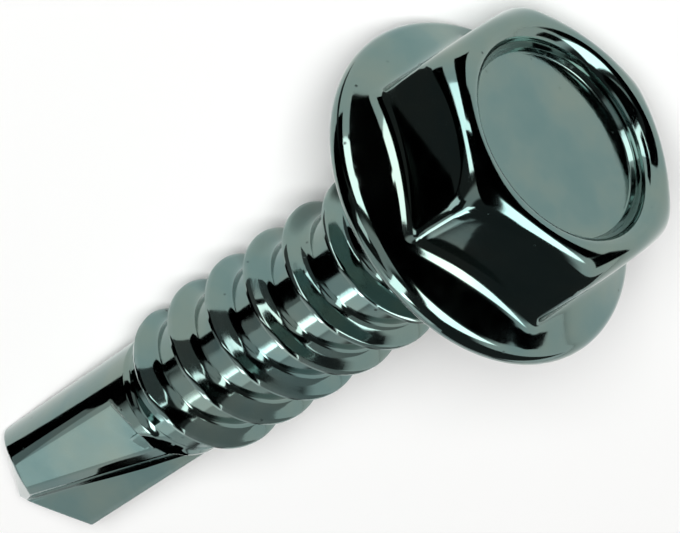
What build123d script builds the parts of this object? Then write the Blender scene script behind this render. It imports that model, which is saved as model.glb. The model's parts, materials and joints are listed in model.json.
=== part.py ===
from build123d import *
import os
from math import cos, pi, radians, sin, sqrt, tan

# Hex washer head self-drilling screw of nominal size 5.5: one solid of case-hardened steel.
# It is modelled upright, with the bearing face of its washer flange at Z = 0, the head above and
# the drill point below. X and Y are the drill point's directions: the two cutting lips run
# along Y, and X crosses them. The last step lays the screw on the ground it comes to rest on.

# ---- Driving dimensions, in millimetres and degrees ----

# Hexagon head
across_flats = 8.0
head_height = 4.5  # bearing face to the top of the hexagon
corner_round = 0.45  # under-filled corners of the cold-formed hexagon
top_round = 0.5  # rounded upper edge of the hexagon
crown_radius = 3.6  # ring where the top's corners begin to fall away
crown_round = 1.05  # rounding from that ring down to the corners
hexagon_turn = -13.0  # one corner's direction, from X
recess_radius = 3.3  # wall of the forming recess in the head's top
recess_depth = 0.95
recess_lip = 0.25  # bevel round the recess mouth
recess_floor_bevel = 0.2

# Washer flange, formed with the head
flange_reach = 1.45  # from the hexagon's flats to the rim
flange_rim = 1.0  # thickness of the fully rounded rim
flange_slope = 28.0  # fall of the flange's upper face, from the hexagon to the rim
flange_blend = 0.3  # fillet between hexagon and flange

# Shank and thread
length_under_head = 23.5  # bearing face to the tip of the drill point
neck_radius = 2.2
neck_length = 2.05  # plain length below the bearing face
root_radius = 2.05
crest_radius = 2.65
pitch = 1.95
thread_angle = 60.0  # between the flanks
crest_flat = 0.12
thread_end = 14.6  # bearing face to where the thread begins, on the drill's side
entry_taper = 1.5  # length over which the first turn grows to full height
exit_taper = 0.8  # length over which the last turn fades below the neck
thread_sink = 0.09  # how far the ridge's base lies inside the root
thread_turn = 85.0  # turns the thread about the screw's axis, from X

# Drill point
drill_radius = 2.1
point_angle = 106.0
relief_angle = 18.0  # tips the ground end back behind each lip
pinch_level = 1.5  # half thickness between the pinched flats at the lips' corners
pinch_end_level = 1.62  # the same at the far end of the flats
pinch_length = 8.0  # from the tip to the far end of the flats
pinch_round = 0.5  # rounding along the pinched flats
cutter_reach = 4.2  # how far the cutters extend past the drill
flute_count = 2
flute_length = 8.9  # from the tip to where the flute runs out
web_half = 0.22  # from the axis to each rake face
heel_lean = 32.0  # lean of the flute's heel wall, away from the rake face's normal
heel_at_tip = 0.1  # root of the heel wall at the tip, along Y
heel_bevel = 0.18  # depth of the bevel along the heel's edge
bevel_lean = 65.0
flute_root_round = 0.3

# ---- Derived values ----

corner_radius = across_flats / 2 / cos(pi / 6)
flange_radius = across_flats / 2 + flange_reach
rim_round = flange_rim / 2
rim_centre = flange_radius - rim_round
slope = radians(flange_slope)
thread_depth = crest_radius - root_radius
tip = -length_under_head
cone_rise = 1 / tan(radians(point_angle / 2))  # rise of the point's cone per unit of radius
relief_rise = tan(radians(relief_angle))
lip_end = tip + drill_radius * cone_rise
cutter_size = drill_radius + cutter_reach

# ---- Hexagon: rounded corners and upper edge, and a shallow forming recess in its top ----

with BuildPart() as hexagon:
    with BuildSketch():
        RegularPolygon(corner_radius, 6, rotation=hexagon_turn)
    extrude(amount=head_height)
    fillet(hexagon.edges().filter_by(Axis.Z), corner_round)
    fillet(hexagon.edges().group_by(Axis.Z)[-1], top_round)
    with BuildSketch(Plane.XZ):
        with BuildLine():
            crown_top = (crown_radius, head_height)
            crown_side = (crown_radius + crown_round, head_height - crown_round)
            RadiusArc(crown_top, crown_side, crown_round)
            Polyline(crown_side, (crown_side[0], 0), (0, 0), (0, head_height), crown_top)
        make_face()
    revolve(axis=Axis.Z, mode=Mode.INTERSECT)
    with BuildSketch(Plane.XZ) as recess:
        with BuildLine():
            floor = head_height - recess_depth
            above = head_height + recess_depth
            Polyline(
                (0, floor),
                (recess_radius, floor),
                (recess_radius, head_height - recess_lip),
                (recess_radius + recess_lip, head_height),
                (recess_radius + recess_lip, above),
                (0, above),
                close=True,
            )
        make_face()
        chamfer(recess.vertices().group_by(Axis.Y)[0].sort_by(Axis.X)[-1], recess_floor_bevel)
    revolve(axis=Axis.Z, mode=Mode.SUBTRACT)

# ---- Washer flange: flat bearing face, fully rounded rim, sloping upper face ----

with BuildPart() as flange:
    with BuildSketch(Plane.XZ):
        with BuildLine():
            rim_top = (rim_centre + rim_round * sin(slope), rim_round + rim_round * cos(slope))
            crown = rim_top[1] + rim_top[0] / 2 * tan(slope)
            ThreePointArc((rim_centre, 0), (flange_radius, rim_round), rim_top)
            Polyline(rim_top, (rim_top[0] / 2, crown), (0, crown), (0, 0), (rim_centre, 0))
        make_face()
    revolve(axis=Axis.Z)

# ---- Thread: one ridge swept along a helix, fading at both ends ----

with BuildPart() as thread:
    with BuildLine() as ridge_path:
        Helix(pitch, thread_end, root_radius, center=(0, 0, -thread_end))
    ridge_start = Plane(origin=ridge_path.line @ 0, x_dir=(1, 0, 0), z_dir=ridge_path.line % 0)
    with BuildSketch(ridge_start):
        with BuildLine():
            half_crest = crest_flat / 2
            half_root = half_crest + (thread_depth + thread_sink) * tan(radians(thread_angle / 2))
            Polyline(
                (-thread_sink, -half_root),
                (thread_depth, -half_crest),
                (thread_depth, half_crest),
                (-thread_sink, half_root),
                close=True,
            )
        make_face()
    sweep(path=ridge_path.line, is_frenet=True)
    with BuildSketch(Plane.XZ):
        with BuildLine():
            inside = root_radius - thread_sink
            outside = crest_radius + thread_sink
            Polyline(
                (0, -thread_end),
                (inside, -thread_end),
                (outside, -thread_end + entry_taper),
                (outside, -neck_length - exit_taper),
                (inside, -neck_length),
                (0, -neck_length),
                close=True,
            )
        make_face()
    revolve(axis=Axis.Z, mode=Mode.INTERSECT)

# ---- Flute cutter: a skewed notch with a flat rake face, leaning heel wall and bevelled heel ----

with BuildPart() as flute:
    heel_run = tan(radians(heel_lean))
    bevel_run = tan(radians(bevel_lean))
    stations = (
        (tip, heel_at_tip, pinch_level - heel_bevel),
        (tip + flute_length, drill_radius, pinch_end_level - heel_bevel),
    )
    for height, root, wall_level in stations:
        with BuildSketch(Plane.XY.offset(height)) as notch:
            with BuildLine():
                wall_end = root - (wall_level - web_half) * heel_run
                Polyline(
                    (web_half, root),
                    (web_half, cutter_size),
                    (cutter_size, cutter_size),
                    (cutter_size, wall_end - (cutter_size - wall_level) * bevel_run),
                    (wall_level, wall_end),
                    close=True,
                )
            make_face()
            fillet(notch.vertices().sort_by_distance((web_half, root))[0], flute_root_round)
    loft()

# ---- Point grinder: all that lies below the point's cone ----

with BuildPart() as grinder:
    with BuildSketch(Plane.XZ):
        with BuildLine():
            Polyline(
                (0, 0),
                (cutter_size, cutter_size * cone_rise),
                (cutter_size, -cutter_size),
                (0, -cutter_size),
                close=True,
            )
        make_face()
    revolve(axis=Axis.Z)

# ---- Drill point: pinched flats, two flutes and a relieved point on a round blank ----

with BuildPart() as drill:
    with BuildSketch(Plane.XY.offset(tip)):
        Circle(drill_radius)
    extrude(amount=length_under_head - thread_end)
    with BuildSketch(Plane.XZ):
        with BuildLine():
            flat_end = tip + pinch_length
            flat_slope = (pinch_end_level - pinch_level) / (flat_end - lip_end)
            Polyline(
                (pinch_end_level - (pinch_length + cutter_size) * flat_slope, tip - cutter_size),
                (pinch_end_level, flat_end),
                (cutter_size, flat_end + cutter_size - pinch_end_level),
                (cutter_size, tip - cutter_size),
                close=True,
            )
        make_face()
        mirror(about=Plane.YZ)
    extrude(amount=cutter_size, both=True, mode=Mode.SUBTRACT)
    fillet(drill.edges(Select.NEW).filter_by(GeomType.ELLIPSE), pinch_round)
    with PolarLocations(0, flute_count):
        add(flute.part, mode=Mode.SUBTRACT)
    for lean in (relief_angle, -relief_angle):
        with Locations(Plane.XY.offset(tip).rotated((0, lean, 0))):
            add(grinder.part, mode=Mode.SUBTRACT)

# ---- Screw, upright ----

with BuildPart() as screw:
    add(flange.part)
    add(hexagon.part)
    fillet(screw.edges(Select.NEW), flange_blend)
    with BuildSketch(Plane.XZ):
        with BuildLine():
            Polyline(
                (0, rim_round),
                (neck_radius, rim_round),
                (neck_radius, -neck_length),
                (root_radius, -neck_length - (neck_radius - root_radius)),
                (root_radius, -thread_end + thread_sink),
                (drill_radius, -thread_end),
                (0, -thread_end),
                close=True,
            )
        make_face()
    revolve(axis=Axis.Z)
    add(drill.part)
    add(thread.part, rotation=(0, 0, thread_turn))

# ---- Resting place: the ground touches one lip's corner, the next heel's corner and the rim ----

lip_corner = Vector(-web_half, -sqrt(drill_radius**2 - web_half**2), lip_end + web_half * relief_rise)
heel_wall = heel_at_tip - (pinch_level - heel_bevel - web_half) * heel_run
heel_level = pinch_level - heel_bevel / 2
heel_corner = Vector(-heel_level, -heel_wall, tip + heel_level * (cone_rise + relief_rise))
down = Vector(-1, 0, 0)
passes = 8  # each one brings the rim's contact nearer to its true place
for _ in range(passes):
    rim_way = Vector(down.X, down.Y, 0).normalized()
    rim_contact = rim_way * rim_centre + Vector(0, 0, rim_round) + down * rim_round
    down = (heel_corner - rim_contact).cross(lip_corner - rim_contact).normalized()
ground = Plane(origin=rim_contact, x_dir=Vector(0, 0, 1) - down * down.Z, z_dir=-down)
lying = ground.to_local_coords(screw.part)
box = lying.bounding_box()
footprint = Plane(origin=(box.center().X, box.center().Y, box.min.Z))

with BuildPart() as self_drilling_screw:
    add(footprint.to_local_coords(lying))
self_drilling_screw.part.label = "self_drilling_screw"

os.makedirs("parts", exist_ok=True)
export_step(self_drilling_screw.part, "parts/self_drilling_screw.step")
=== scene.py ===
import bpy
import json
import numpy as np
from math import radians
from mathutils import Matrix, Vector


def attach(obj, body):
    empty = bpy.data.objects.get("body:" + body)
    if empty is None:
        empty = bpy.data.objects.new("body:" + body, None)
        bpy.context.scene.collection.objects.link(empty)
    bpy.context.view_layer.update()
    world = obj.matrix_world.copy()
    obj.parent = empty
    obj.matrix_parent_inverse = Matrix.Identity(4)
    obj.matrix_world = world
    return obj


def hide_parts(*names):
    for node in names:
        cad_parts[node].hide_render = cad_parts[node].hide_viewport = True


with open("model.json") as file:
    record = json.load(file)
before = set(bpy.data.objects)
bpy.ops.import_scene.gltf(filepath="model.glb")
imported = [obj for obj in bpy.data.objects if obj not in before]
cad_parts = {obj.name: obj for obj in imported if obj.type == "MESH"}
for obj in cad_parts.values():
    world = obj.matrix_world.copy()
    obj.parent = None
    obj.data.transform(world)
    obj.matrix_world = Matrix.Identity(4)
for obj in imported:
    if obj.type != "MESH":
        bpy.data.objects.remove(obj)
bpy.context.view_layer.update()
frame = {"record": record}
mm = 0.001
print("frame loaded")

# All shapes are worked out standing: millimetres, bearing face at z = 0, head up, tip down.
# axisUp points from the tip to the head; axisX and axisY are the drill point's own directions.
lying = {
    "turn": 24.49,  # degrees about the axis, from straight up to axisX
}

mounts = {mount["name"]: mount for mount in frame["record"]["mounts"]}
axisUp = np.array(mounts["hex_drive"]["axis"])
axisUp = axisUp / np.linalg.norm(axisUp)
drivePoint = np.array(mounts["hex_drive"]["pos_m"])
faceDepth = (np.array(mounts["bearing_face"]["pos_m"]) - drivePoint) @ axisUp
seat = drivePoint + axisUp * faceDepth  # centre of the bearing face
leaning = np.array([0, 0, 1]) - axisUp * axisUp[2]  # straight up, made square to the axis
leaning = leaning / np.linalg.norm(leaning)
sideways = np.array([0, 1, 0])
axisX = leaning * np.cos(radians(lying["turn"])) + sideways * np.sin(radians(lying["turn"]))
axisY = np.cross(axisUp, axisX)


def layDown(points):
    # world point = seat + x * axisX + y * axisY + z * axisUp
    return seat + (points @ np.stack([axisX, axisY, axisUp])) * mm


def arc(centre, radius, start, end, count):
    # points of an arc: centre + radius * (cos a, sin a), a from start to end in degrees
    angle = np.radians(np.linspace(start, end, count))
    return centre[0] + radius * np.cos(angle), centre[1] + radius * np.sin(angle)


def smoothMin(a, b, width):
    # the smaller of two values, with the corner between them rounded over width
    h = np.clip(0.5 + 0.5 * (b - a) / width, 0, 1)
    return b + (a - b) * h - width * h * (1 - h)


def ease(t):
    # 0 before t = 0, 1 after t = 1, smooth between: 3 t squared - 2 t cubed
    t = np.clip(t, 0, 1)
    return t * t * (3 - 2 * t)


def meshFrom(name, points, quads, triangles):
    # a mesh from whole arrays: points in metres, then faces of four and of three corners
    mesh = bpy.data.meshes.new(name)
    corners = np.concatenate([quads.ravel(), triangles.ravel()])
    starts = np.concatenate([
        np.arange(len(quads)) * 4,
        len(quads) * 4 + np.arange(len(triangles)) * 3,
    ])
    mesh.vertices.add(len(points))
    mesh.vertices.foreach_set("co", np.ascontiguousarray(points, dtype=np.float32).ravel())
    mesh.loops.add(len(corners))
    mesh.loops.foreach_set("vertex_index", corners.astype(np.int32))
    mesh.polygons.add(len(starts))
    mesh.polygons.foreach_set("loop_start", starts.astype(np.int32))
    mesh.update(calc_edges=True)
    mesh.validate()
    return mesh


def ringShell(name, radius, height, angle, topPole, bottomPole):
    # closed shell from rings: point = (radius cos angle, radius sin angle, height), with a pole
    # at each end; rings run from the top pole to the bottom one
    rows, columns = radius.shape
    points = np.stack([radius * np.cos(angle), radius * np.sin(angle), height], axis=2)
    points = np.vstack([points.reshape(-1, 3), [[0, 0, topPole], [0, 0, bottomPole]]])
    index = np.arange(rows * columns).reshape(rows, columns)
    right = np.roll(index, -1, axis=1)
    quads = np.stack([index[:-1], index[1:], right[1:], right[:-1]], axis=2).reshape(-1, 4)
    top, bottom = rows * columns, rows * columns + 1
    topFan = np.stack([np.full(columns, top), index[0], right[0]], axis=1)
    bottomFan = np.stack([np.full(columns, bottom), right[-1], index[-1]], axis=1)
    return meshFrom(name, layDown(points), quads, np.vstack([topFan, bottomFan]))


# Head: hexagon with its forming recess, washer flange and a short plain neck. Lengths in mm,
# angles in degrees.
headSizes = {
    "acrossFlats": 8.0,
    "height": 4.5,
    "hexTurn": -13.0,  # one corner's direction from axisX
    "cornerSharpBase": 46,  # higher is sharper
    "cornerSharpTop": 22,
    "crownRadius": 3.5,  # ring from which the top falls away, to flats and corners alike
    "crownFall": 1.25,  # height of that rounding over its width
    "recessFloor": 2.98,  # radius of its flat floor
    "recessDepth": 0.8,
    "recessRound": 0.05,  # at the foot of its wall, which leans out to the mouth
    "recessMiddle": 0.35,  # radius of its innermost ring
    "lipWidth": 0.45,
    "lipHeight": 0.62,
    "lipSoft": 0.85,  # 1 is a full round, 0 a straight bevel
    "flangeReach": 1.45,
    "flangeRim": 1.0,
    "flangeSlope": 28,
    "baseBlend": 0.6,
    "neckRadius": 2.2,
    "neckLength": 2.05,
    "neckBlend": 0.12,
    "neckEnd": 0.3,  # the neck's last ring steps in and down by this, into the thread
    "neckPole": 0.25,
    "columns": 216,
    "cornerCrowding": 0.11,  # radians by which columns move towards the corners
    "rings": {  # on each stretch of the profile
        "floor": 7,
        "foot": 5,
        "wall": 6,
        "mouth": 16,
        "crown": 20,
        "side": 12,
        "blend": 10,
        "cone": 6,
        "rim": 27,
        "bearing": 6,
        "neckBlend": 6,
        "neck": 5,
    },
}


def hexRadius(angle, flats, turn, sharpness):
    # distance to a hexagon with rounded corners: (sum over its six sides of
    # (cos(angle to the side's normal) / half width) ** sharpness) ** (-1 / sharpness)
    normals = np.radians(turn + 30 + 60 * np.arange(6))
    shares = np.maximum(np.cos(angle[..., None] - normals), 0) / (flats / 2)
    return (shares ** sharpness[..., None]).sum(axis=-1) ** (-1 / sharpness)


def makeHead(s):
    # one profile, from the middle of the recess to the neck, carried round the axis: every ring
    # is a radius and a height, one number where it is round, or one for each column
    even = np.linspace(0, 2 * np.pi, s["columns"], endpoint=False)
    crowded = np.radians(s["hexTurn"]) + even - s["cornerCrowding"] * np.sin(6 * even)
    counts, rings = s["rings"], []

    def ring(radius, height):
        rings.append((np.broadcast_to(radius, even.shape), np.broadcast_to(height, even.shape)))

    def ringsAlong(radii, heights):
        for r, z in zip(radii, heights):
            ring(r, z)

    top, floor = s["height"], s["height"] - s["recessDepth"]
    slope = np.radians(s["flangeSlope"])
    flangeRadius = s["acrossFlats"] / 2 + s["flangeReach"]
    rimRound = s["flangeRim"] / 2
    rimCentre = flangeRadius - rimRound
    rimTopR = rimCentre + rimRound * np.sin(slope)
    rimTopZ = rimRound + rimRound * np.cos(slope)

    def hexAt(level):
        # the hexagon at a height, its corners sharp at the foot and softer at the top
        blend = ease(level / top)
        sharp = s["cornerSharpBase"] + (s["cornerSharpTop"] - s["cornerSharpBase"]) * blend
        return hexRadius(crowded, s["acrossFlats"], s["hexTurn"], np.full_like(crowded, sharp))

    # recess: flat floor, a small arc at the foot of the wall, and the wall leaning out
    footStart = s["recessFloor"] - s["recessRound"]
    for r in np.linspace(s["recessMiddle"], footStart, counts["floor"])[:-1]:
        ring(r, floor)
    mouthR, mouthZ = s["crownRadius"] - s["lipWidth"], top - s["lipHeight"]
    lean = np.degrees(np.arctan2(mouthZ - floor, mouthR - s["recessFloor"]))
    footCentre = (footStart, floor + s["recessRound"])
    footR, footZ = arc(footCentre, s["recessRound"], -90, lean - 90, counts["foot"])
    ringsAlong(footR, footZ)
    for t in np.linspace(0, 1, counts["wall"])[1:-1]:
        ring(footR[-1] + (mouthR - footR[-1]) * t, footZ[-1] + (mouthZ - footZ[-1]) * t)

    # mouth of the recess: width and height fall off as cos and sin to the power 2 - lipSoft,
    # flatter than a round
    for a in np.radians(np.linspace(90, 0, counts["mouth"])):
        inward, upward = np.cos(a) ** (2 - s["lipSoft"]), np.sin(a) ** (2 - s["lipSoft"])
        ring(s["crownRadius"] - s["lipWidth"] * upward, top - s["lipHeight"] * (1 - inward))

    # crown: a quarter of an ellipse from the crown's ring out to the hexagon
    crownWidth = hexAt(top) - s["crownRadius"]
    crownDrop = crownWidth * s["crownFall"]
    for a in np.radians(np.linspace(90, 0, counts["crown"])[1:]):
        ring(s["crownRadius"] + crownWidth * np.cos(a), top - crownDrop * (1 - np.sin(a)))

    # side of the hexagon, down to an arc that blends it into the flange's cone
    hexLow = hexAt(rimTopZ)
    coneAt = rimTopZ + (rimTopR - hexLow) * np.tan(slope)  # the cone where the side meets it
    blendZ = coneAt + s["baseBlend"] * np.tan((np.pi / 2 - slope) / 2)
    for t in np.linspace(0, 1, counts["side"])[1:-1]:
        z = (top - crownDrop) * (1 - t) + blendZ * t
        ring(hexAt(z), z)
    for a in np.linspace(np.pi, np.pi + np.pi / 2 - slope, counts["blend"]):
        ring(hexLow + s["baseBlend"] * (1 + np.cos(a)), blendZ + s["baseBlend"] * np.sin(a))

    # flange: the cone, the round rim, and the flat bearing face under it
    blendR, blendEnd = rings[-1]
    for t in np.linspace(0, 1, counts["cone"])[1:-1]:
        ring(blendR + (rimTopR - blendR) * t, blendEnd + (rimTopZ - blendEnd) * t)
    ringsAlong(*arc((rimCentre, rimRound), rimRound, 90 - s["flangeSlope"], -90, counts["rim"]))
    neckOut = s["neckRadius"] + s["neckBlend"]
    for r in np.linspace(rimCentre, neckOut, counts["bearing"])[1:-1]:
        ring(r, 0)

    # neck, which ends inside the thread's root
    ringsAlong(*arc((neckOut, -s["neckBlend"]), s["neckBlend"], 90, 180, counts["neckBlend"]))
    for z in np.linspace(-s["neckBlend"], -s["neckLength"], counts["neck"])[1:]:
        ring(s["neckRadius"], z)
    ring(s["neckRadius"] - s["neckEnd"], -s["neckLength"] - s["neckEnd"])

    radius = np.stack([r for r, z in rings])
    height = np.stack([z for r, z in rings])
    angle = np.broadcast_to(crowded, radius.shape)
    return ringShell("head", radius, height, angle, floor, -s["neckLength"] - s["neckPole"])


# Thread on its core. Rows follow the helix, so every crest lies on lines of the grid.
threadSizes = {
    "rootRadius": 2.05,
    "crestRadius": 2.65,
    "pitch": 1.95,
    "flankAngle": 60,  # between the flanks
    "crestFlat": 0.12,
    "crestRound": 0.05,
    "rootRound": 0.22,
    "begin": -14.6,  # ridge starts here, by the drill point
    "growth": 1.5,  # length over which it grows
    "fadeEnd": -2.05,
    "fade": 0.8,
    "rampOver": 0.09,  # growth and fade run this far past root and crest
    "rampSoft": 0.04,
    "turn": 85.0,  # where the ridge starts, degrees from axisX
    "coreEnd": 0.25,  # this far above the ridge's start the core steps in, inside the drill
    "coreStep": 0.35,
    "topLevel": -1.4,  # the grid starts at the first crest above this
    "turns": 9,
    "columns": 144,
    "rowsPerTurn": 24,
    "crestCrowding": 0.085,  # turns by which rows move towards the crest
}


def threadRadius(offset, height, s):
    # offset is the distance along the axis from the nearest crest. Flank: crest radius minus
    # (|offset| - half the flat) / tan(half the flank angle); crest and root are blended in, and
    # the ridge is no higher than a ramp at either end
    depth = s["crestRadius"] - s["rootRadius"]
    flank = (np.abs(offset) - s["crestFlat"] / 2) / np.tan(np.radians(s["flankAngle"] / 2))
    rise = smoothMin(depth - flank, np.full_like(flank, depth), s["crestRound"])
    rise = -smoothMin(-rise, np.zeros_like(rise), s["rootRound"])
    over, rampHeight = s["rampOver"], depth + 2 * s["rampOver"]
    growing = (height - s["begin"]) / s["growth"] * rampHeight - over
    fading = (s["fadeEnd"] - height) / s["fade"] * rampHeight - over
    limit = np.maximum(np.minimum(growing, fading), 0)
    return s["rootRadius"] + smoothMin(rise, limit, s["rampSoft"]) * (limit > 0)


def makeThread(s):
    # point(j, i): angle = 2 pi j / columns, z = start + pitch * angle / 2 pi - row offset, so
    # row i at the end of the last column is row i - rowsPerTurn at the first
    columns, perTurn, pitch, turns = s["columns"], s["rowsPerTurn"], s["pitch"], s["turns"]
    even = np.linspace(-0.5, 0.5, perTurn, endpoint=False)
    spread = even - s["crestCrowding"] * np.sin(2 * np.pi * even)
    phase = -s["turn"] / 360  # crest at the first column, in turns above the ridge's start
    crestZ = s["begin"] + pitch * phase
    firstCrest = crestZ + pitch * np.ceil((s["topLevel"] - crestZ) / pitch)
    offsets = (np.arange(turns)[:, None] + spread).ravel() * pitch
    rows = len(offsets)
    angle = 2 * np.pi * np.arange(columns) / columns
    height = firstCrest + pitch * angle[None, :] / (2 * np.pi) - offsets[:, None]
    fromCrest = np.broadcast_to(np.tile(spread, turns)[:, None] * pitch, height.shape)
    radius = threadRadius(fromCrest, height, s)
    bare = radius < s["rootRadius"] + 1e-3
    radius = radius - s["coreStep"] * (bare & (height < s["begin"] + s["coreEnd"]))
    points = np.stack([radius * np.cos(angle), radius * np.sin(angle), height], axis=2)

    # faces: between neighbours in the grid, and across the seam to the row a turn lower
    index = np.arange(rows * columns).reshape(rows, columns)
    inside = [index[:-1, :-1], index[1:, :-1], index[1:, 1:], index[:-1, 1:]]
    inside = np.stack(inside, axis=2).reshape(-1, 4)
    low = np.arange(perTurn, rows - 1)
    before, after = index[:, -1], index[:, 0]
    seam = [before[low], before[low + 1], after[low + 1 - perTurn], after[low - perTurn]]
    quads = np.vstack([inside, np.stack(seam, axis=1)])

    # a fan closes each end, from its pole to the loop of open edges
    topLoop = np.concatenate([index[0, :], before[1:perTurn + 1]])
    bottomLoop = np.concatenate([index[-1, :], after[rows - 1 - perTurn:rows - 1]])
    topPole = np.full(len(topLoop), rows * columns)
    bottomPole = np.full(len(bottomLoop), rows * columns + 1)
    topFan = np.stack([topPole, topLoop, np.roll(topLoop, -1)], axis=1)
    bottomFan = np.stack([bottomPole, np.roll(bottomLoop, -1), bottomLoop], axis=1)
    poles = [[0, 0, height[0].mean()], [0, 0, height[-1].mean()]]
    points = layDown(np.vstack([points.reshape(-1, 3), poles]))
    return meshFrom("thread", points, quads, np.vstack([topFan, bottomFan]))


# Drill point: a round blank, pinched flat on two sides, with two flutes and a ground end.
drillSizes = {
    "radius": 2.1,
    "tip": -23.5,
    "shoulder": -14.6,
    "pointAngle": 106,
    "relief": 18,
    "pinchLevel": 1.5,  # from the axis to the flats, at the lips
    "pinchEndLevel": 1.62,
    "pinchLength": 8.0,
    "pinchRound": 0.5,
    "fluteLength": 8.9,
    "fluteRunOut": 0.3,  # the flute's root leaves the metal by this at the shoulder
    "runOutLength": 0.8,
    "webHalf": 0.22,
    "heelLean": 32,
    "heelAtTip": 0.1,
    "heelBevel": 0.18,
    "bevelLean": 65,
    "fluteRound": 0.3,
    "edgeRound": 0.02,
    "pointRows": (2.35, 66),  # length that the rows crowd on, up from the tip, and their number
    "bodyRows": 76,
    "columns": 360,
    "lipCrowding": 0.25,  # radians by which columns move towards both lips
    "collar": [(1.75, 0.5), (2.055, 0.3), (2.055, 0.09)],  # radius and rise above the shoulder
}


def pinchedRadius(angle, height, s):
    # round blank with two flats: flat x = level, blank r = radius, and between them an arc of
    # pinchRound whose centre lies at x = level - pinchRound, pinchRound inside the blank
    folded = np.abs((angle + np.pi / 2) % np.pi - np.pi / 2)  # from the nearer flat's normal
    lipEnd = s["tip"] + s["radius"] / np.tan(np.radians(s["pointAngle"] / 2))
    flatEnd = s["tip"] + s["pinchLength"]
    run = (height - lipEnd) / (flatEnd - lipEnd)
    level = s["pinchLevel"] + (s["pinchEndLevel"] - s["pinchLevel"]) * run
    level = level + np.maximum(height - flatEnd, 0)  # the flat ramps out at its far end
    level = np.minimum(level, s["radius"] - 1e-4)
    rounding = s["pinchRound"]
    centreX = level - rounding
    centreY = np.sqrt((s["radius"] - rounding) ** 2 - centreX ** 2)
    reach = np.hypot(centreX, centreY)
    off = folded - np.arctan2(centreY, centreX)
    onArc = reach * np.cos(off) + np.sqrt(np.maximum(rounding ** 2 - (reach * np.sin(off)) ** 2, 0))
    onFlat = level / np.maximum(np.cos(folded), 1e-6)
    flatStop = np.arctan2(centreY, level)
    return np.where(folded < flatStop, onFlat, np.where(off < 0, onArc, s["radius"]))


def fluteRadius(angle, height, s):
    # how far a ray from the axis runs before it enters the flute: past the rake face x = webHalf
    # and past the heel wall or the bevel, which are lines y = root - (x - webHalf) * run
    along = (height - s["tip"]) / s["fluteLength"]
    root = s["heelAtTip"] + (s["radius"] - s["heelAtTip"]) * along
    runningOut = (height - s["shoulder"] + s["runOutLength"]) / s["runOutLength"]
    root = root + s["fluteRunOut"] * ease(runningOut)
    wallLevel = s["pinchLevel"] + (s["pinchEndLevel"] - s["pinchLevel"]) * along - s["heelBevel"]
    wallRun, bevelRun = np.tan(np.radians(s["heelLean"])), np.tan(np.radians(s["bevelLean"]))
    web = s["webHalf"]
    wallEnd = root - (wallLevel - web) * wallRun
    far = 50.0  # mm, for a ray that never enters
    cosine, sine = np.cos(angle), np.sin(angle)
    wallAcross, bevelAcross = sine + cosine * wallRun, sine + cosine * bevelRun
    with np.errstate(divide="ignore", invalid="ignore"):
        rake = np.where(cosine > 1e-4, web / cosine, far)
        wall = np.where(wallAcross > 1e-4, (root + web * wallRun) / wallAcross, far)
        bevel = np.where(bevelAcross > 1e-4, (wallEnd + wallLevel * bevelRun) / bevelAcross, far)
    entry = np.maximum(rake, np.minimum(wall, bevel))
    # arc in the flute's root, tangent to rake face and wall
    rounding = s["fluteRound"]
    lean = np.radians(s["heelLean"])
    centreX = web + rounding
    centreY = root + rounding / np.cos(lean) - rounding * np.tan(lean)
    reach = np.hypot(centreX, centreY)
    off = angle - np.arctan2(centreY, centreX)
    upper = np.arctan2(centreY, web)
    lower = np.arctan2(centreY - rounding * np.cos(lean), centreX - rounding * np.sin(lean))
    onArc = reach * np.cos(off) - np.sqrt(np.maximum(rounding ** 2 - (reach * np.sin(off)) ** 2, 0))
    entry = np.where((angle > lower) & (angle < upper), onArc, entry)
    return np.where(entry > 0, entry, far)


def pointSlope(angle, s):
    # the ground end is two cones tipped by +-relief about the lips' direction. On either one
    # r = z * k(angle), where k solves square k^2 + single k + rest = 0; the nearer one counts
    m = 1 / np.tan(np.radians(s["pointAngle"] / 2))
    cosine, sine = np.cos(angle), np.sin(angle)
    tilt, rise = np.cos(np.radians(s["relief"])), np.sin(np.radians(s["relief"]))
    slopes = []
    for side in (1, -1):
        spread = m * m * (cosine * cosine * tilt * tilt + sine * sine)
        square = cosine * cosine * rise * rise - spread
        single = -2 * side * cosine * tilt * rise * (1 + m * m)
        rest = tilt * tilt - m * m * rise * rise
        slopes.append((-single - np.sqrt(single * single - 4 * square * rest)) / (2 * square))
    return np.minimum(slopes[0], slopes[1])


def drillRadius(angle, height, s):
    # the nearest of blank, both flutes and the ground point
    wrapped = (angle + np.pi) % (2 * np.pi) - np.pi
    opposite = (angle + 2 * np.pi) % (2 * np.pi) - np.pi
    blank = pinchedRadius(angle, height, s)
    flutes = np.minimum(fluteRadius(wrapped, height, s), fluteRadius(opposite, height, s))
    shape = smoothMin(blank, flutes, s["edgeRound"])
    point = np.maximum(height - s["tip"], 0) * pointSlope(angle, s)
    return smoothMin(shape, point, s["edgeRound"] * np.minimum(1, np.maximum(point, 1e-4)))


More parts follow.
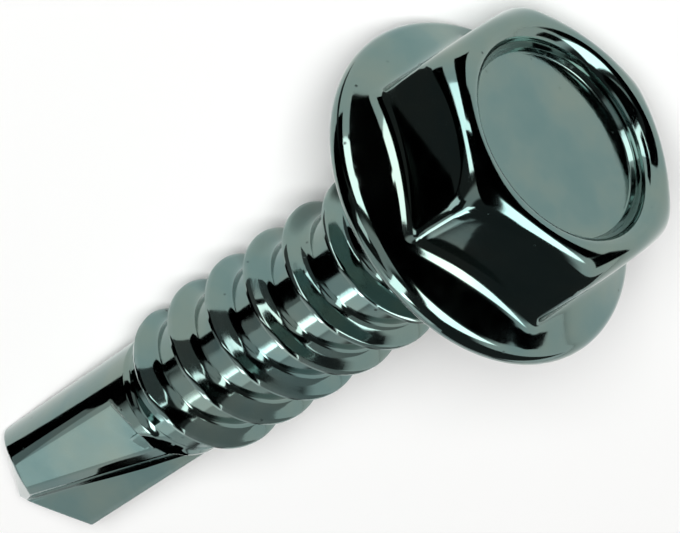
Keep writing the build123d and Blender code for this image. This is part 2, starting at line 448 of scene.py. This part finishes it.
def makeDrill(s):
    # r(angle, height) on rings from the shoulder to the tip, under a collar inside the thread
    lip = np.arccos(s["webHalf"] / s["radius"])  # the rake face's outer edge
    even = np.linspace(-np.pi, np.pi, s["columns"], endpoint=False)
    angle = lip + even - s["lipCrowding"] * np.sin(2 * even)
    shoulder, tip = s["shoulder"], s["tip"]
    pointLength, pointRows = s["pointRows"]
    height = np.concatenate([
        np.linspace(shoulder, tip + pointLength, s["bodyRows"])[:-1],
        np.linspace(tip + pointLength, tip, pointRows)[:-1],
    ])
    angles = np.broadcast_to(angle, (len(height), len(angle)))
    heights = np.broadcast_to(height[:, None], angles.shape)
    radius = drillRadius(angles, heights, s)
    collarR = np.stack([np.full(len(angle), r) for r, _ in s["collar"]])
    collarZ = np.stack([np.full(len(angle), shoulder + z) for _, z in s["collar"]])
    radius, heights = np.vstack([collarR, radius]), np.vstack([collarZ, heights])
    angles = np.broadcast_to(angle, radius.shape)
    return ringShell("drill", radius, heights, angles, shoulder + s["collar"][0][1], tip)


def unite(name, meshes):
    # one shell from shells that run into each other
    objects = [bpy.data.objects.new(mesh.name, mesh) for mesh in meshes]
    for item in objects:
        bpy.context.scene.collection.objects.link(item)
    for other in objects[1:]:
        modifier = objects[0].modifiers.new("join", "BOOLEAN")
        modifier.operation = "UNION"
        modifier.solver = "MANIFOLD"
        modifier.object = other
    graph = bpy.context.evaluated_depsgraph_get()
    united = bpy.data.meshes.new_from_object(objects[0].evaluated_get(graph), depsgraph=graph)
    united.name = name
    for item in objects:
        bpy.data.objects.remove(item)
    for mesh in meshes:
        bpy.data.meshes.remove(mesh)
    return united


skinSizes = {
    "sharpAbove": 32,  # degrees between faces that meet in a hard edge
    "bendReach": 0.05,  # mm: longer edges weigh no more than this in the bend
    "bendSpreads": 2,  # times that the bend spreads to neighbours
}


def storeBend(mesh, s):
    # how sharply the surface turns at each point, in radians per mm, outward positive: over
    # every edge, (turn of the normal) . (edge) / (its length squared), averaged by length
    count = len(mesh.vertices)
    points, normals = np.empty(count * 3), np.empty(count * 3)
    edges = np.empty(len(mesh.edges) * 2, dtype=int)
    mesh.vertices.foreach_get("co", points)
    mesh.vertex_normals.foreach_get("vector", normals)
    mesh.edges.foreach_get("vertices", edges)
    points, normals = points.reshape(-1, 3) / mm, normals.reshape(-1, 3)
    a, b = edges.reshape(-1, 2).T
    step, turn = points[b] - points[a], normals[b] - normals[a]
    length = np.sqrt((step ** 2).sum(axis=1)) + 1e-6
    share = (turn * step).sum(axis=1) / length ** 2
    weight = np.minimum(length, s["bendReach"])
    bend = np.bincount(a, share * weight, count) + np.bincount(b, share * weight, count)
    bend = bend / (np.bincount(a, weight, count) + np.bincount(b, weight, count) + 1e-9)
    for _ in range(s["bendSpreads"]):
        total = np.bincount(a, bend[b], count) + np.bincount(b, bend[a], count)
        near = np.bincount(a, minlength=count) + np.bincount(b, minlength=count)
        bend = 0.5 * bend + 0.5 * total / np.maximum(near, 1)
    mesh.attributes.new("bend", "FLOAT", "POINT").data.foreach_set("value", bend)


screwMesh = unite("screw", [makeHead(headSizes), makeThread(threadSizes), makeDrill(drillSizes)])
screwMesh.polygons.foreach_set("use_smooth", np.ones(len(screwMesh.polygons), dtype=bool))
screwMesh.set_sharp_from_angle(angle=radians(skinSizes["sharpAbove"]))
storeBend(screwMesh, skinSizes)
screw = bpy.data.objects.new("screw", screwMesh)
bpy.context.scene.collection.objects.link(screw)
screwMesh.calc_loop_triangles()
print("screw modelled:", len(screwMesh.loop_triangles), "triangles")


def linear(hexColour, alpha=1.0):
    # sRGB hex to linear: ((c + 0.055) / 1.055) ** 2.4 above 0.04045, c / 12.92 below
    channels = [int(hexColour[i:i + 2], 16) / 255 for i in (1, 3, 5)]
    channels = [((c + 0.055) / 1.055) ** 2.4 if c > 0.04045 else c / 12.92 for c in channels]
    return channels + [alpha]


def addNode(tree, kind, inputs=(), out=0, **settings):
    # one node with its settings. inputs is a list in the sockets' order, or a dictionary by their
    # names or numbers, of values or of other nodes' outputs, which are linked; out is the output
    # handed back
    node = tree.nodes.new(kind)
    for key, value in settings.items():
        setattr(node, key, value)
    sockets = inputs.items() if isinstance(inputs, dict) else enumerate(inputs)
    for socket, value in sockets:
        if isinstance(value, bpy.types.NodeSocket):
            tree.links.new(value, node.inputs[socket])
        else:
            node.inputs[socket].default_value = value
    return node.outputs[out] if len(node.outputs) else None


# A range is (low, high), which become 0 and 1, or (low, high, start, end), which become start
# and end.
zincSizes = {
    "colour": "#6e8683",  # zinc under clear passivate
    "thick": "#64807f",  # bluer, where the passivate is thicker
    "thin": "#7c8c84",  # paler and warmer, where it is thinner
    "worn": "#9aa8a6",  # edges rubbed bright in the barrel
    "speck": "#2b3534",  # pits and specks of dirt
    "roughness": 0.085,
    "roughnessVaries": 0.05,
    "patchScale": 0.4,  # per mm: patches of about 2.5 mm
    "thinPatches": (0.42, 0.68),
    "thickPatches": (0.45, 0.25),
    "cloudScale": 2.2,  # per mm: the plating's uneven skin, 0.45 mm
    "cloudRange": (0.3, 0.75),
    "cloudDepth": 0.0008,  # mm
    "grainScale": 14,  # per mm: crystals are finer still, drawn coarser to show
    "grainDepth": 0.00022,
    "drawnScale": (7, 7, 0.5),  # flow lines per mm, across the axis and along it
    "rolledRound": 1.5,  # flow lines of the rolled shank, per radian round it
    "rolledAlong": 16,  # and per mm along it
    "streakDepth": 0.0004,
    "shankTop": (-0.3, 0, 1, 0),  # mm from the bearing face, where rolled lines end
    "shankEnd": (-14.9, -14.3),
    "speckScale": 2.1,  # per mm: a cell of 0.5 mm, few of which hold a speck
    "speckSize": (0.05, 0.14, 1, 0),  # of a cell, from the speck's middle to its edge
    "speckShare": (0.84, 0.9),  # random numbers of the cells that hold one
    "speckDark": 0.75,
    "speckDull": 0.3,  # added roughness
    "pitDepth": 0.0015,
    "wornBend": (1.2, 4),  # bend at which wear begins and is full
    "wornClouds": (0.35, 0.6, 0.3, 1),  # wear comes and goes with the clouds
    "wornShare": 0.35,
    "wornGloss": 0.03,  # taken off the roughness
    "hollowBend": (-0.8, -3),
    "hollowDull": 0.08,  # added roughness
}


def alongScrew(tree):
    # the piece's own millimetres: distances from the seat along axisX, axisY and axisUp
    place = addNode(tree, "ShaderNodeTexCoord", out="Object")
    vector = "ShaderNodeVectorMath"
    fromSeat = addNode(tree, vector, [place, seat], operation="SUBTRACT")
    scaled = addNode(tree, vector, {0: fromSeat, "Scale": 1 / mm}, operation="SCALE")
    parts = [
        addNode(tree, vector, [scaled, way], out="Value", operation="DOT_PRODUCT")
        for way in (axisX, axisY, axisUp)
    ]
    return addNode(tree, "ShaderNodeCombineXYZ", parts), parts


def makeZinc(s):
    # Bright zinc electroplate with clear blue passivate on cold-formed steel. The eye gets a
    # nearly mirror-like grey with a cool tint, its reflections wavering over the uneven skin,
    # edges that rubbing in the barrel has brightened, duller hollows, and a few pits and specks
    material = bpy.data.materials.new("brightZincPlate")
    material.use_nodes = True
    tree = material.node_tree
    tree.nodes.clear()
    local, (x, y, z) = alongScrew(tree)

    noise = "ShaderNodeTexNoise"
    patches = addNode(tree, noise, {"Vector": local, "Scale": s["patchScale"], "Detail": 3})
    clouds = addNode(tree, noise, {"Vector": local, "Scale": s["cloudScale"], "Detail": 2})
    grain = addNode(tree, noise, {"Vector": local, "Scale": s["grainScale"], "Detail": 2})

    # flow lines: along the axis on head and drill point, round it on the rolled shank
    drawnOut = addNode(tree, "ShaderNodeVectorMath", [local, s["drawnScale"]], operation="MULTIPLY")
    drawn = addNode(tree, noise, {"Vector": drawnOut, "Scale": 1, "Detail": 2})
    angle = addNode(tree, "ShaderNodeMath", [y, x], operation="ARCTAN2")
    turned = addNode(tree, "ShaderNodeMath", [angle, s["rolledRound"]], operation="MULTIPLY")
    along = addNode(tree, "ShaderNodeMath", [z, s["rolledAlong"]], operation="MULTIPLY")
    around = addNode(tree, "ShaderNodeCombineXYZ", [turned, along])
    rolled = addNode(tree, noise, {"Vector": around, "Scale": 1, "Detail": 2})
    belowTop = addNode(tree, "ShaderNodeMapRange", [z, *s["shankTop"]])
    aboveEnd = addNode(tree, "ShaderNodeMapRange", [z, *s["shankEnd"]])
    onShank = addNode(tree, "ShaderNodeMath", [belowTop, aboveEnd], operation="MULTIPLY")
    lines = addNode(tree, "ShaderNodeMix", {0: onShank, 2: drawn, 3: rolled}, data_type="FLOAT")

    # specks: middles of the few cells whose random number is high
    cells = addNode(tree, "ShaderNodeTexVoronoi", {"Vector": local, "Scale": s["speckScale"]})
    pick = addNode(tree, "ShaderNodeSeparateColor", [cells.node.outputs["Color"]])
    middles = addNode(tree, "ShaderNodeMapRange", [cells, *s["speckSize"]])
    chosen = addNode(tree, "ShaderNodeMapRange", [pick, *s["speckShare"]])
    dots = addNode(tree, "ShaderNodeMath", [middles, chosen], operation="MULTIPLY")

    # wear: edges curve outward, hollows inward
    bend = addNode(tree, "ShaderNodeAttribute", out="Fac", attribute_name="bend")
    edges = addNode(tree, "ShaderNodeMapRange", [bend, *s["wornBend"]])
    uneven = addNode(tree, "ShaderNodeMapRange", [clouds, *s["wornClouds"]])
    worn = addNode(tree, "ShaderNodeMath", [edges, uneven], operation="MULTIPLY")
    hollow = addNode(tree, "ShaderNodeMapRange", [bend, *s["hollowBend"]])

    # colour: each finish is laid over the ones before it
    colour = linear(s["colour"])
    for share, finishColour in (
        (addNode(tree, "ShaderNodeMapRange", [patches, *s["thinPatches"]]), s["thin"]),
        (addNode(tree, "ShaderNodeMapRange", [patches, *s["thickPatches"]]), s["thick"]),
        (addNode(tree, "ShaderNodeMath", [worn, s["wornShare"]], operation="MULTIPLY"), s["worn"]),
        (addNode(tree, "ShaderNodeMath", [dots, s["speckDark"]], operation="MULTIPLY"), s["speck"]),
    ):
        sockets = {0: share, 6: colour, 7: linear(finishColour)}
        colour = addNode(tree, "ShaderNodeMix", sockets, out=2, data_type="RGBA")

    # roughness: clouds, duller hollows and specks, glossier edges
    smooth = s["roughness"] - s["roughnessVaries"] / 2
    dull = s["roughness"] + s["roughnessVaries"] / 2
    rough = addNode(tree, "ShaderNodeMapRange", [clouds, *s["cloudRange"], smooth, dull])
    for part, share, change in (
        (hollow, s["hollowDull"], "ADD"),
        (worn, s["wornGloss"], "SUBTRACT"),
        (dots, s["speckDull"], "ADD"),
    ):
        part = addNode(tree, "ShaderNodeMath", [part, share], operation="MULTIPLY")
        rough = addNode(tree, "ShaderNodeMath", [rough, part], operation=change)

    # height in mm: skin, flow lines and grain, less the pits
    height = addNode(tree, "ShaderNodeMath", [clouds, s["cloudDepth"]], operation="MULTIPLY")
    for part, depth, change in (
        (lines, s["streakDepth"], "ADD"),
        (grain, s["grainDepth"], "ADD"),
        (dots, s["pitDepth"], "SUBTRACT"),
    ):
        part = addNode(tree, "ShaderNodeMath", [part, depth], operation="MULTIPLY")
        height = addNode(tree, "ShaderNodeMath", [height, part], operation=change)
    bump = addNode(tree, "ShaderNodeBump", {"Strength": 1.0, "Distance": mm, "Height": height})

    shader = addNode(tree, "ShaderNodeBsdfPrincipled", {
        "Base Color": colour,
        "Metallic": 1.0,
        "Roughness": rough,
        "Normal": bump,
    })
    addNode(tree, "ShaderNodeOutputMaterial", {"Surface": shader})
    return material


screw.data.materials.clear()
screw.data.materials.append(makeZinc(zincSizes))
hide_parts("self_drilling_screw")
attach(screw, "root")
print("material made")

studio = {
    "floorColour": "#f6f6f5",
    "floorSize": 1.2,  # m
    "room": 0.04,  # brightness of the unlit room
    # brings the floor close to white: degrees, metres and watts
    "floorLamp": {"azimuth": 39, "elevation": 46, "distance": 1.0, "size": 0.4, "power": 15.3},
    # azimuth, elevation, width, height and soft edge in degrees, and brightness
    "softboxes": {
        "key": (-29, 59, 60, 41, 5, 5.0),
        "left": (165, 42, 14, 20, 3, 7.0),
        "leftWall": (180, 14, 80, 40, 8, 0.75),
        "leftGlow": (177, 28.5, 36, 21, 5, 1.3),
        "backdrop": (-88, 14, 90, 84, 16, 0.95),
        "fill": (85, 46, 130, 30, 10, 0.6),
    },
    # foot x, y, z in mm, azimuth that it faces, width and height in mm, and brightness
    "cards": {
        "headBlack": (9.5, 14.5, 0, -90, 9, 10, 0.0),
        "shankBlack": (-3.9, 14.5, 0, -90, 17.8, 11.5, 0.0),
        "shankTop": (7.5, -22, 10.9, 180, 45, 60, 0.35),
        "shankWhite": (-2.5, 6, 16, -90, 21, 7, 4.0),
        "shankSide": (9.3, 9.6, 0, 180, 6.8, 9, 0.12),
        "shankFar": (-15, 15, 0, -90, 8, 4, 0.0),
        "shankGrey": (-15, 16, 0, -90, 8, 13, 0.3),
        "lipBlack": (17.6, -10.2, 8, 110, 5, 6, 0.0),
        "lipDark": (18.3, 4.8, 8.2, -122, 8.7, 30, 0.0),
        "flangeBlack": (17.8, 6.9, 0, -160, 4.0, 7.6, 0.0),
        "flangeDark": (66, -14, 9, 170, 76, 34, 0.0),
        "frontBlack": (31, 6, 0, -170, 24, 9, 0.0),
        "frontWhite": (18.7, 13.2, 3.5, -130, 10, 10, 4.0),
        "cornerWhite": (8.4, 6.6, 9.7, -50, 1.3, 1.7, 1.8),
        "wallDark": (6.5, 8.5, 9.5, -55, 5, 7, 0.02),
        "drillBlack": (-11.8, 3.9, 0, -60, 6, 1.55, 0.0),
        "drillEnd": (-9.3, 5.3, 0, -60, 2.4, 3.7, 0.0),
        "drillGrey": (-12.0, 4.2, 0, -60, 6, 3.4, 0.38),
        "rakeGrey": (-20, -2.3, 4.5, 0, 7.6, 8, 0.78),
        "fluteBlack": (-14.5, -5.2, 0, 0, 5.8, 5.6, 0.0),
    },
}


def addQuad(name, corners):
    # an object of one flat face, from four corners in metres
    mesh = bpy.data.meshes.new(name)
    mesh.from_pydata([tuple(corner) for corner in corners], [], [(0, 1, 2, 3)])
    item = bpy.data.objects.new(name, mesh)
    bpy.context.scene.collection.objects.link(item)
    return item


def makeFloor(s):
    # a square of matte card, centred under the screw
    half = s["floorSize"] / 2
    corners = [(-half, -half, 0), (half, -half, 0), (half, half, 0), (-half, half, 0)]
    floor = addQuad("floor", corners)
    material = bpy.data.materials.new("matteCard")
    material.use_nodes = True
    tree = material.node_tree
    tree.nodes.clear()
    shader = addNode(tree, "ShaderNodeBsdfDiffuse", {"Color": linear(s["floorColour"])})
    addNode(tree, "ShaderNodeOutputMaterial", {"Surface": shader})
    floor.data.materials.append(material)


def makeWorld(s):
    # a dim room with soft boxes: each is a patch of azimuth and elevation with soft edges, its
    # brightness times a fade across and a fade upward. The first adds to the room, and after
    # that the brightest counts
    world = bpy.data.worlds.new("studioRoom")
    world.use_nodes = True
    tree = world.node_tree
    tree.nodes.clear()
    place = addNode(tree, "ShaderNodeTexCoord", out="Generated")
    x, y, z = addNode(tree, "ShaderNodeSeparateXYZ", [place]).node.outputs
    azimuth = addNode(tree, "ShaderNodeMath", [y, x], operation="ARCTAN2")
    elevation = addNode(tree, "ShaderNodeMath", [z], operation="ARCSINE")

    total = None
    for a, e, width, height, soft, level in s["softboxes"].values():
        turn = addNode(tree, "ShaderNodeMath", [azimuth, radians(a)], operation="SUBTRACT")
        turn = addNode(tree, "ShaderNodeMath", [turn], operation="COSINE")
        turn = addNode(tree, "ShaderNodeMath", [turn], operation="ARCCOSINE")
        rise = addNode(tree, "ShaderNodeMath", [elevation, radians(e)], operation="SUBTRACT")
        rise = addNode(tree, "ShaderNodeMath", [rise], operation="ABSOLUTE")
        fades = []
        for distance, half in ((turn, width / 2), (rise, height / 2)):
            start, end = radians(half - soft / 2), radians(half + soft / 2)
            fades.append(addNode(
                tree, "ShaderNodeMapRange", [distance, start, end, 1.0, 0.0],
                interpolation_type="SMOOTHSTEP",
            ))
        patch = addNode(tree, "ShaderNodeMath", fades, operation="MULTIPLY")
        patch = addNode(tree, "ShaderNodeMath", [patch, level], operation="MULTIPLY")
        if total is None:
            total = addNode(tree, "ShaderNodeMath", [patch, s["room"]], operation="ADD")
        else:
            total = addNode(tree, "ShaderNodeMath", [patch, total], operation="MAXIMUM")
    background = addNode(tree, "ShaderNodeBackground", {"Color": (1, 1, 1, 1), "Strength": total})
    addNode(tree, "ShaderNodeOutputWorld", {"Surface": background})
    world.cycles_visibility.diffuse = False  # the metal shows the boxes, the lamp lights the floor
    bpy.context.scene.world = world


def makeCard(name, x, y, z, azimuth, width, height, level, room):
    # an upright card that only reflections see; its back is as dark as the room
    a = radians(azimuth)
    side, up = np.array([-np.sin(a), np.cos(a), 0]) * width / 2, np.array([0, 0, height])
    foot = np.array([x, y, z])
    corners = np.array([foot - side, foot + side, foot + side + up, foot - side + up]) * mm
    card = addQuad(name, corners)
    material = bpy.data.materials.new(name)
    material.use_nodes = True
    tree = material.node_tree
    tree.nodes.clear()
    behind = addNode(tree, "ShaderNodeNewGeometry", out="Backfacing")
    strength = addNode(tree, "ShaderNodeMapRange", [behind, 0.0, 1.0, level, room])
    glow = addNode(tree, "ShaderNodeEmission", {"Color": (1, 1, 1, 1), "Strength": strength})
    addNode(tree, "ShaderNodeOutputMaterial", {"Surface": glow})
    card.data.materials.append(material)
    card.visible_camera = card.visible_diffuse = False
    card.visible_shadow = card.visible_transmission = False


def wayTo(azimuth, elevation):
    # unit vector towards an azimuth and an elevation: (cos e cos a, cos e sin a, sin e)
    a, e = radians(azimuth), radians(elevation)
    return Vector((np.cos(e) * np.cos(a), np.cos(e) * np.sin(a), np.sin(e)))


def makeLamp(name, azimuth, elevation, distance, size, power):
    # a square soft lamp that faces the screw and lights the floor; metal doesn't show it
    data = bpy.data.lights.new(name, "AREA")
    data.size, data.energy = size, power
    lamp = bpy.data.objects.new(name, data)
    way = wayTo(azimuth, elevation)
    lamp.location = way * distance
    lamp.rotation_euler = way.to_track_quat("Z", "Y").to_euler()
    lamp.visible_glossy = lamp.visible_camera = False
    bpy.context.scene.collection.objects.link(lamp)


makeFloor(studio)
makeWorld(studio)
makeLamp("floorLamp", **studio["floorLamp"])
for name, card in studio["cards"].items():
    makeCard(name, *card, studio["room"])
print("studio made")

camera = {
    "target": (2.7626, -0.0661, 3.2231),  # mm
    "azimuth": 38.95,  # degrees
    "elevation": 44.28,
    "roll": -179.0,
    "distance": 135.45,  # mm
    "lens": 236.16,  # mm, as is the sensor's width
    "sensor": 36,
}


def makeCamera(s):
    # the camera stands off its target towards azimuth and elevation, and is rolled about its view
    back = wayTo(s["azimuth"], s["elevation"])
    roll = radians(s["roll"])
    level = Vector((0, 0, 1)).cross(back).normalized()
    upright = back.cross(level)
    up = upright * np.cos(roll) + level * np.sin(roll)
    right = up.cross(back)
    place = Matrix((right, up, back)).transposed().to_4x4()
    place.translation = (Vector(s["target"]) + back * s["distance"]) * mm
    data = bpy.data.cameras.new("camera")
    data.sensor_width, data.lens = s["sensor"], s["lens"]
    data.sensor_fit = "HORIZONTAL"
    data.clip_start, data.clip_end = 0.001, 10
    item = bpy.data.objects.new("camera", data)
    item.matrix_world = place
    bpy.context.scene.collection.objects.link(item)
    bpy.context.scene.camera = item


makeCamera(camera)
bpy.context.scene.view_settings.view_transform = "Standard"
print("camera placed")
